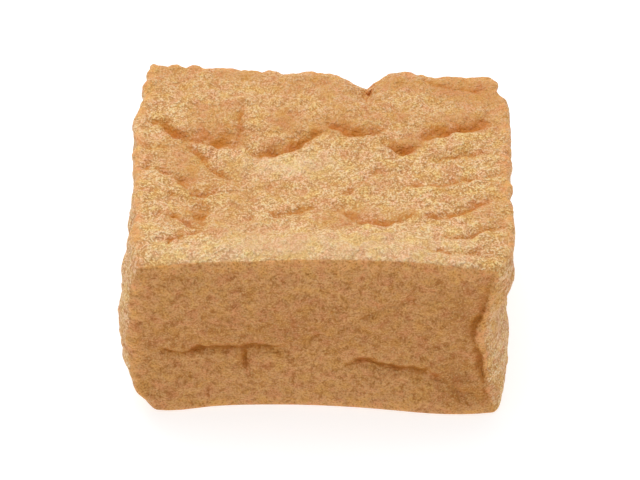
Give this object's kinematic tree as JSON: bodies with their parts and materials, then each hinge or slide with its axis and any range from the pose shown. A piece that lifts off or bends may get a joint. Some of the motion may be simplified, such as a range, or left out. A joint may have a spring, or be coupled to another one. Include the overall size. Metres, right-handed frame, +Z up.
{
  "type": "deep-fried tofu block",
  "caption": "Thick rectangular block of deep-fried tofu with a browned, wrinkled skin, lying on its broad face.",
  "frame": {"origin": "on the resting surface, under the middle of the block's outline", "axes": "+X along the block's longest side, with the notch in the rear edge towards +X, +Y to the rear, +Z up through the folded top"},
  "size_m": [0.0838, 0.0696, 0.0435],
  "materials": {
    "fried_crust": "golden-brown deep-fried crust, slightly oily, matte in its creases"
  },
  "bodies": {
    "root": {"tofu_block": "fried_crust"}
  },
  "joints": []
}
